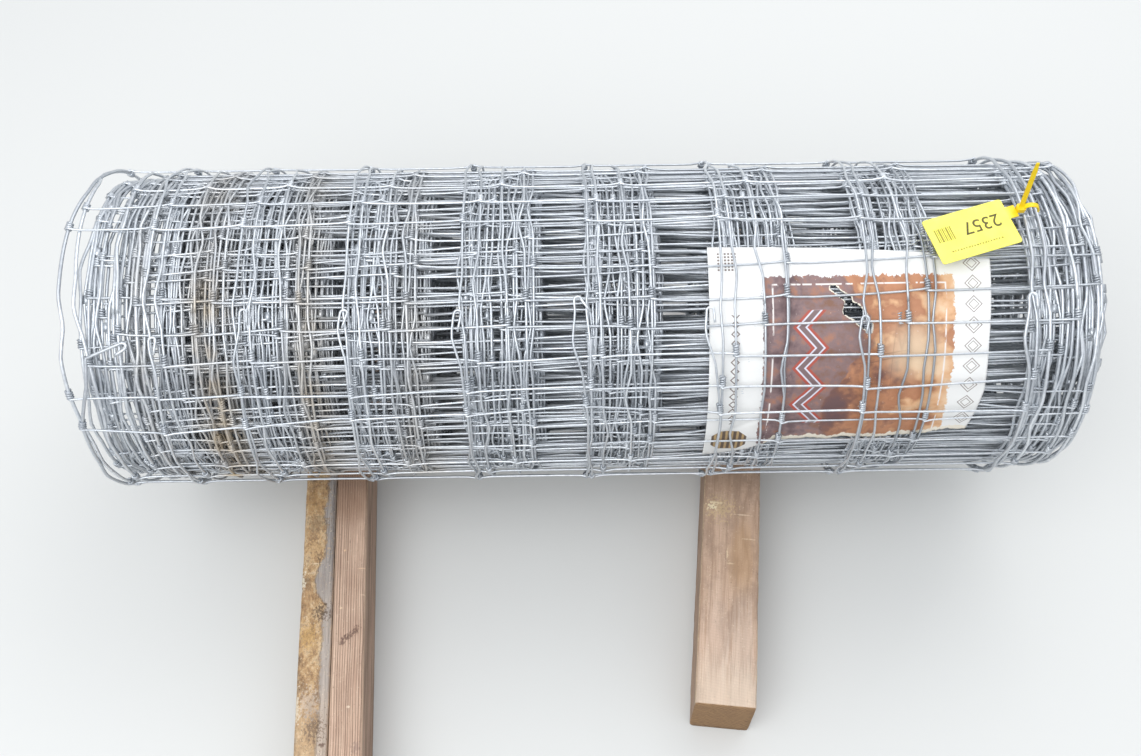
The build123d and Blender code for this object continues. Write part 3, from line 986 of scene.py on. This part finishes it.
# The section's outline is the rounded rectangle sampled evenly round; it runs from end to end of
# the piece, and shrinks to a point over each end so that the end grain is closed
def makeBearer(name, facts, material):
    width, length, height = (size * millimetre for size in facts["size"])
    corner = facts["round"] * millimetre
    bends = np.linspace(0, np.pi / 2, bearerMesh["cornerPoints"])
    outline = np.concatenate([
        np.stack([signX * (width / 2 - corner) + corner * np.cos(bends + first),
                  signZ * (height / 2 - corner) + corner * np.sin(bends + first)], axis=-1)
        for first, signX, signZ in ((0, 1, 1), (np.pi / 2, -1, 1), (np.pi, -1, -1), (3 * np.pi / 2, 1, -1))
    ])
    outline = np.concatenate([outline, outline[:1]])
    far = np.concatenate([[0], np.cumsum(np.linalg.norm(np.diff(outline, axis=0), axis=1))])
    even = np.linspace(0, far[-1], bearerMesh["ringPoints"] + 1)[:-1]
    ring = np.stack([np.interp(even, far, outline[:, axis]) for axis in (0, 1)], axis=-1)

    shares, depths = (np.array(bearerMesh[key]) for key in ("endShares", "endDepths"))
    reach = length / 2 - bearerMesh["endRound"]
    stations = np.linspace(-reach, reach, bearerMesh["stations"])
    along = np.concatenate([depths - length / 2, stations, length / 2 - depths[::-1]])
    shrink = np.concatenate([shares, 0 * stations + 1, shares[::-1]])
    y, x = np.meshgrid(along, ring[:, 0], indexing="ij")
    z = np.broadcast_to(ring[:, 1], x.shape)
    inward = np.stack([x, z], axis=-1)
    atCorner = np.clip((np.abs(x) / (width / 2)) ** 8 * (np.abs(z) / (height / 2)) ** 8, 0, 1)
    around = np.broadcast_to(even, x.shape)

    def wearOf(kind, seed):
        long, wide, deep = bearerMesh[kind]
        return hills(y / long, around / wide, seed), deep

    chips, chipDepth = wearOf("chips", facts["seed"])
    dents, dentDepth = wearOf("dents", facts["seed"] + 50)
    waves, waveDepth = wearOf("waves", facts["seed"] + 100)
    worn = atCorner * (chipDepth * chips ** 2 + dentDepth * dents) + waveDepth * waves
    worn = worn * facts["wear"] * millimetre / np.linalg.norm(inward, axis=-1)
    inward = inward * (shrink[:, None, None] - worn[..., None])
    points = np.stack([inward[..., 0], y, inward[..., 1]], axis=-1)
    rings, steps = points.shape[:2]
    index = np.arange(rings * steps).reshape(rings, steps)
    beside = np.roll(index, -1, axis=1)
    quads = np.stack([index[:-1], index[1:], beside[1:], beside[:-1]], axis=-1).reshape(-1, 4)
    points = laidBy(bearerPlace(facts), points.reshape(-1, 3))
    mesh = meshFromArrays(name + "_worn", points, [quads, index[0][None], index[-1][::-1][None]])
    addPiece(name + "_worn", mesh, material, facts["slot"], name)


# Softwood, with growth rings as shells round a pith line beside the piece: on the sides they run
# as grain, and on the ends they are arcs. Nothing here depends on the piece's own UV map.
def makeWoodMaterial(facts, look):
    material, add = newMaterial(look["material"])
    places = ownPlaces(add, bearerPlace(facts))
    x, y, z = add("SeparateXYZ", places).node.outputs
    halfWidth, halfLength, halfHeight = (size / 2 for size in facts["size"])

    # A cloudy pattern whose patches are this many millimetres along each axis
    def cloud(size, detail=4.0, rough=0.55):
        return add("TexNoise", add("VectorMath DIVIDE", places, size), 1.0, detail, rough)

    # One colour over another, as a pattern rises smoothly from the value where it doesn't show to
    # the value where it shows in full
    def coat(under, over, pattern, none, full, share=1.0):
        return add("Mix RGBA", add("MapRange SMOOTHSTEP", pattern, none, full, 0.0, share), under, over)

    # A ragged patch on the top face, inside an ellipse whose edge is broken up by a pattern
    def patch(middle, half, pattern, broken, share=1.0):
        offset = add("VectorMath SUBTRACT", places, (*middle, halfHeight))
        away = add("VectorMath LENGTH", add("VectorMath DIVIDE", offset, (*half, 12.0)))
        ragged = add("Math MULTIPLY_ADD", pattern, -broken, add("Math ADD", away, broken / 2))
        return add("MapRange SMOOTHSTEP", ragged, 1.25, 0.45, 0.0, share)

    bend, wander = cloud((90, 260, 90), 2.0), cloud((13, 420, 13), 3.0)
    streak, fibre = cloud((1.6, 55, 1.6), 5.0, 0.7), cloud((0.9, 18, 0.9), 4.0, 0.6)
    blotch, pulp = cloud((26, 48, 26), 5.0, 0.65), cloud((6, 9, 6), 5.0, 0.8)
    crumbs = cloud((2.6, 3.6, 2.6), 3.0, 0.6)

    # The rings: how far a place is from the pith line, bent a little, and folded at each ring
    pithX, pithZ = look["pith"]
    far = add("VectorMath DISTANCE", add("VectorMath MULTIPLY", places, (1, 0, 1)), (pithX, 0, pithZ))
    far = add("Math MULTIPLY_ADD", bend, look["bend"], far)
    far = add("Math MULTIPLY_ADD", wander, look["wander"], far)
    half = look["ring"] / 2
    ring = add("Math POWER", add("Math DIVIDE", add("Math PINGPONG", far, half), half), look["sharp"])
    strength = add("MapRange SMOOTHSTEP", cloud((3.5, 300, 3.5), 2.0), 0.25, 0.6, 0.5, 1.0)
    ring = add("Math MULTIPLY", ring, strength)
    if look["smooth"]:
        smoothed = patch(look["smooth"][:2], look["smooth"][2:], blotch, 1.5, 0.6)
        ring = add("Math MULTIPLY", ring, add("Math SUBTRACT", 1.0, smoothed))

    valley, face, pale, stain = look["colours"]
    colour = coat(face, pale, streak, 0.3, 0.66)
    colour = add("Mix RGBA", add("Math MULTIPLY", ring, look["contrast"]), colour, valley)
    colour = coat(colour, stain, blotch, 0.42, 0.66, look["blotch"])
    relief = add("Math MULTIPLY_ADD", ring, -look["ridge"], add("Math MULTIPLY", fibre, 0.8))

    if look["band"]:
        # A planed face gone silver beside the joint, and a torn, pulpy face elsewhere. The line
        # between them wanders, and bulges outwards at one place.
        edge = add("Math MULTIPLY_ADD", cloud((500, 60, 500), 3.0), 24.0, -9.5)
        edge = add("Math MULTIPLY_ADD", pulp, 10.0, edge)
        bulge = patch((20.0, -170.0), (40.0, 26.0), blotch, 0.2)
        edge = add("Math MULTIPLY_ADD", bulge, -9.5, edge)
        silver = add("Math MULTIPLY", add("MapRange SMOOTHSTEP", add("Math SUBTRACT", x, edge), -2.0, 2.2),
                     add("MapRange SMOOTHSTEP", z, 20.0, 40.0))
        pulpy = add("ValToRGB", pulp, stops=look["pulpy"])
        tanned = add("ValToRGB", cloud((13, 22, 13), 5.0, 0.75), stops=look["tanned"])
        torn = add("Mix RGBA", add("MapRange SMOOTHSTEP", z, 34.0, 43.0, 0.25, 0.75), colour, pulpy)
        torn = add("Mix RGBA", add("MapRange SMOOTHSTEP", z, 34.0, 43.0, 0.2, 0.55), torn, tanned)
        # Pale and dark crumbs, and painted light: the torn face is drawn lighter towards the front end
        for over, pattern, none, full, share in (("#e9d3ac", crumbs, 0.55, 0.68, 0.5),
                                                 ("#7a614a", crumbs, 0.44, 0.32, 0.45),
                                                 ("#cfb596", y, -290.0, -350.0, 0.35)):
            torn = coat(torn, over, pattern, none, full, share)
        grey = "#87817f"
        # Streaks and pulp, and painted light: the silver face is drawn lighter towards the front end
        for over, pattern, none, full, share in (("#b3aaa3", streak, 0.34, 0.66, 1.0),
                                                 ("#b49f8a", pulp, 0.5, 0.68, 0.5),
                                                 ("#cbbcae", y, -120.0, -230.0, 0.45),
                                                 ("#c9ae92", y, -290.0, -340.0, 0.3)):
            grey = coat(grey, over, pattern, none, full, share)
        colour = add("Mix RGBA", silver, torn, grey)
        relief = add("Mix RGBA", silver, add("Math MULTIPLY", pulp, 2.2), relief)

    # Small pale and dark flecks of torn fibre and dirt, then the marks that lie in known places
    flecks = cloud((1.8, 2.8, 1.8), 2.0)
    colour = coat(colour, "#eadac0", flecks, 0.66, 0.74, look["flecks"])
    colour = coat(colour, "#5f4c3e", flecks, 0.33, 0.26, look["flecks"])
    scratch = add("Math MULTIPLY", add("MapRange SMOOTHSTEP", cloud((9, 0.9, 9), 1.0), 0.72, 0.78),
                  add("MapRange SMOOTHSTEP", blotch, 0.46, 0.56, 0.0, 0.55))
    colour = add("Mix RGBA", scratch, colour, "#e2ccb0")
    for markX, markY, halfX, halfY, mark, share, broken in look["marks"]:
        covered = patch((markX, markY), (halfX, halfY), streak if halfY > 30 else crumbs, broken, share)
        colour = add("Mix RGBA", covered, colour, mark)

    # Top corners drawn pale, as rubbed wear and a painted highlight, fine marks across from the saw, and the
    # end grain
    corner = add("Math MULTIPLY_ADD", pulp, 5.0, add("Math ABSOLUTE", x))
    corner = add("MapRange SMOOTHSTEP", corner, halfWidth + 1.2, halfWidth + 2.6)
    # Wear and painted highlight: the corners are drawn pale on the top face only
    rubbedAndHighlit = add("Math MULTIPLY", corner, add("MapRange SMOOTHSTEP", z, 36.0, 43.0, 0.0, look["rubbedAndHighlit"]))
    colour = add("Mix RGBA", rubbedAndHighlit, colour, "#e3cda8")
    sawn = add("Math SINE", add("Math MULTIPLY_ADD", y, 2 * math.pi / 3.4, add("Math MULTIPLY", x, 0.25)))
    halfSawn = look["sawn"] / 2
    colour = add("Mix RGBA", add("Math MULTIPLY_ADD", sawn, halfSawn, halfSawn), colour, stain)
    endGrain = add("MapRange", add("Math ABSOLUTE", y), halfLength - 1.2, halfLength - 0.3)
    endPale, endDark = look["end"]
    endColour = coat(add("Mix RGBA", ring, endPale, endDark), endDark, pulp, 0.45, 0.65, 0.4)
    colour = add("Mix RGBA", endGrain, colour, endColour)
    bump = add("Bump", byName={"Height": relief, "Strength": 0.8, "Distance": look["depth"]})
    rough = add("Math MULTIPLY_ADD", streak, 0.2, 0.7)
    add("OutputMaterial", add("BsdfPrincipled", byName={
        "Base Color": colour, "Roughness": rough, "Normal": bump, "IOR": 1.5}))
    return material


# "colours" are a ring's dark line, the plain face, its pale streaks and its stains, and "end" is the
# end grain between its rings and on them. A mark is its place across and along, its half sizes, its
# colour, how much it covers and how broken up it is.
woodLooks = {
    # Spruce, sawn and left out in the weather: torn fibres gone tan, with a silver-grey planed strip
    "bearer_board_outer": {
        "material": "spruce_sawn_weathered",
        "pith": (-60, 40), "ring": 4.5, "bend": 30, "wander": 8, "sharp": 2.0,
        "colours": ("#93765c", "#bd9d7b", "#d6bc98", "#8c7766"), "blotch": 0.6, "ridge": 0.5, "band": True,
        "smooth": None, "sawn": 0.0, "end": ("#b08c62", "#7b5c3e"), "depth": 2.2 * millimetre, "flecks": 0.8,
        "rubbedAndHighlit": 0.7, "contrast": 1.0,
        "pulpy": ((0.3, "#604a35"), (0.42, "#9c7c58"), (0.52, "#c09e76"), (0.62, "#e2c69c"),
                  (0.74, "#f7ecd6")),
        "tanned": ((0.36, "#6b5645"), (0.45, "#a17c58"), (0.53, "#cfa676"), (0.6, "#ecd2aa"),
                   (0.68, "#a98670")),
        "marks": ((6, -209, 8, 8, "#5f4b3a", 0.8, 9.0), (3, -346, 8, 13, "#75604f", 0.75, 9.0),
                  (13, -366, 3.5, 2.5, "#6f564a", 0.85, 3.0), (-2, -147, 8, 1.1, "#ecd6b4", 0.8, 3.0),
                  (-7, -159, 8, 1.0, "#e4cdab", 0.6, 3.0), (-8, -238, 10, 14, "#d2a866", 0.5, 6.0),
                  (-8, -64, 14, 18, "#bd935c", 0.4, 6.0), (-3, -92, 14, 12, "#8a775f", 0.5, 6.0),
                  (-4, -128, 12, 12, "#dcb98a", 0.5, 6.0), (-12, -190, 9, 14, "#a9805a", 0.4, 6.0),
                  # The next two near-white streaks on the outer edge are wear and a painted highlight
                  (-17.5, -168, 2.5, 12, "#efe6d2", 0.8, 8.0), (-17.5, -322, 3.5, 14, "#f0e2c8", 0.8, 8.0),
                  (-4, -318, 12, 16, "#cfc0b2", 0.5, 6.0)),
    },
    # Red cedar, ridged by weather: the soft early wood has worn down between pinkish lines
    "bearer_board_inner": {
        "material": "cedar_ridged_by_weather",
        "pith": (-900, -30), "ring": 2.9, "bend": 10, "wander": 7, "sharp": 1.9,
        "colours": ("#74584a", "#c0a08a", "#dabda6", "#a58775"), "blotch": 0.4, "ridge": 1.2, "band": False,
        "smooth": (13, -95, 16, 75), "sawn": 0.0, "end": ("#a98468", "#70503f"), "depth": 1.1 * millimetre,
        "flecks": 0.45, "rubbedAndHighlit": 0.25, "contrast": 0.7,
        "marks": ((-7, -248, 3.5, 3, "#6c5248", 0.8, 4.0), (-3, -244, 4, 3.4, "#6c5248", 0.75, 5.0),
                  (2, -241, 4.5, 3, "#6c5248", 0.7, 5.0), (7, -237, 4, 3.4, "#6c5248", 0.75, 6.0),
                  (10, -233, 3.5, 3, "#705549", 0.7, 6.0), (-6.6, -132, 1.8, 1.6, "#e9c9a6", 0.9, 1.0),
                  (-9.2, -206, 1.8, 1.5, "#ead0b2", 0.9, 1.0), (2.4, -325, 2.2, 1.6, "#ecd9c4", 0.9, 1.0),
                  (14.5, -157, 6, 0.9, "#e6c8aa", 0.75, 1.0), (17, -191, 5, 0.8, "#e6ccb2", 0.7, 1.0),
                  (8, -118, 1.2, 7, "#e2c2ac", 0.6, 1.5), (-3, -50, 32, 50, "#8c6b55", 0.6, 1.5),
                  (12, -372, 5, 7, "#88706a", 0.5, 4.0)),
    },
    # Pine, sawn: a dull dusty face with faint grain and fine marks across from the saw
    "bearer_timber": {
        "material": "pine_sawn_dusty",
        "pith": (-130, -330), "ring": 5.2, "bend": 26, "wander": 12, "sharp": 2.4,
        "colours": ("#a0826b", "#bb9d86", "#cfb29b", "#9c8371"), "blotch": 0.7, "ridge": 0.3, "band": False,
        "smooth": None, "sawn": 0.08, "end": ("#a88660", "#7d5d43"), "depth": 1.1 * millimetre,
        "flecks": 0.55, "rubbedAndHighlit": 0.8, "contrast": 0.75,
        "marks": ((-16, -152, 15, 13, "#d2b88e", 0.6, 7.0), (-24, -152, 5, 3.5, "#efe2c0", 0.9, 7.0),
                  (-20, -146, 9, 1.4, "#eddcb8", 0.7, 4.0), (14, -215, 17, 55, "#b38d62", 0.45, 2.0),
                  (-14, -345, 18, 90, "#d6bfae", 0.4, 2.0), (16, -350, 20, 90, "#cdbcae", 0.4, 2.0),
                  (0, -402, 70, 60, "#e2d2bd", 0.4, 2.5), (12, -160, 11, 0.9, "#e4ceb2", 0.7, 3.0),
                  (22, -192, 8, 0.8, "#e0c8aa", 0.7, 3.0), (-4, -215, 1.0, 7, "#e6cfae", 0.7, 3.0),
                  (0, -226, 6, 1.0, "#e2caa8", 0.6, 3.0), (-10, -105, 34, 30, "#a0846c", 0.4, 2.0)),
    },
}
for name, look in woodLooks.items():
    makeBearer(name, bearers[name], makeWoodMaterial(bearers[name], look))
print("The bearers are in")


# The stage, the light and the camera
stageFacts = {
    "floor": "#d4d5d3",
    "bounce": "#8c8d8b",  # what the floor throws back on the object
    "floorSize": 12.0,
    "floorRough": 0.9,
    "lampPower": 55,
    # Two soft lamps aimed at the roll: where each stands, its size, and its share of the power
    "lamps": {"key": ((-0.8, -1.4, 2.6), 2.4, 1.0), "back": ((0.9, 1.6, 2.4), 2.2, 0.5)},
    "sky": "#f7faff",
    "fillStrength": 0.97,
    "horizon": 0.5,  # the sky's brightness at the horizon, as a share of its brightness overhead
    "fullAt": 0.7,  # how high up the sky is full bright, as the sine of the angle
    "backdrop": 0.9,  # the least brightness that the camera sees behind the object
}

cameraFacts = {
    # From the roll's axis at the close-meshed edge of the outermost turn: along it, behind it and over it
    "place": (0.4903, -0.818, 1.179),
    # Degrees: turned to the right, down from level, and rolled
    "yaw": 0.69,
    "down": 57.93,
    "roll": 0.30,
    "focalPixels": 1220,
    "imageWidth": 1141,
    "sensor": 36,
}


def makeStage():
    half = stageFacts["floorSize"] / 2
    points = np.array([[-half, -half, 0], [half, -half, 0], [half, half, 0], [-half, half, 0]])
    mesh = meshFromArrays("floor", points, [np.array([[0, 1, 2, 3]])], smooth=False)
    floor = newObject("floor", mesh)
    material, add = newMaterial("plain_floor")
    rays = add("LightPath").node.outputs
    seen = add("Math MAXIMUM", rays["Is Camera Ray"], rays["Is Glossy Ray"])
    seen = add("Math MAXIMUM", seen, rays["Is Transmission Ray"])
    colour = add("Mix RGBA", seen, stageFacts["bounce"], stageFacts["floor"])
    add("OutputMaterial", add("BsdfPrincipled", byName={
        "Base Color": colour, "Roughness": stageFacts["floorRough"]}))
    mesh.materials.append(material)


def makeLights():
    world = bpy.data.worlds.new("soft_studio")
    world.use_nodes = True
    world.node_tree.nodes.clear()
    add = partial(addNode, world.node_tree)
    up = add("SeparateXYZ", add("TexCoord", out="Generated")).node.outputs["Z"]
    brightness = add("MapRange", up, 0.0, stageFacts["fullAt"], stageFacts["horizon"], 1.0)
    behind = add("Math MULTIPLY", add("LightPath", out="Is Camera Ray"), stageFacts["backdrop"])
    strength = add("Math MAXIMUM", add("Math MULTIPLY", brightness, stageFacts["fillStrength"]), behind)
    add("OutputWorld", add("Background", stageFacts["sky"], strength))
    bpy.context.scene.world = world
    for name, (place, size, share) in stageFacts["lamps"].items():
        lamp = bpy.data.lights.new(name, "AREA")
        lamp.energy = stageFacts["lampPower"] * share
        lamp.size = size
        lampObject = newObject(name, lamp)
        toRoll = (Vector((0, axisY, axisZ)) - Vector(place)).to_track_quat("-Z", "Y")
        lampObject.matrix_world = Matrix.Translation(place) @ toRoll.to_matrix().to_4x4()


# The camera looks down by an angle, is turned a little to one side, and rolled a little
def makeCamera():
    yaw, down, roll = (math.radians(cameraFacts[key]) for key in ("yaw", "down", "roll"))
    forward = Vector((math.sin(yaw) * math.cos(down), math.cos(yaw) * math.cos(down), -math.sin(down)))
    level = Vector((math.cos(yaw), -math.sin(yaw), 0))
    below = forward.cross(level)
    right = level * math.cos(roll) + below * math.sin(roll)
    up = level * math.sin(roll) - below * math.cos(roll)
    camera = bpy.data.cameras.new("camera")
    camera.sensor_width = cameraFacts["sensor"]
    camera.lens = cameraFacts["focalPixels"] / cameraFacts["imageWidth"] * cameraFacts["sensor"]
    cameraObject = newObject("camera", camera)
    turned = Matrix((right, up, -forward)).transposed().to_4x4()
    place = Vector((edgeX, axisY, axisZ)) + Vector(cameraFacts["place"])
    cameraObject.matrix_world = Matrix.Translation(place) @ turned
    bpy.context.scene.camera = cameraObject


makeStage()
makeLights()
makeCamera()
bpy.context.scene.view_settings.view_transform = "Standard"
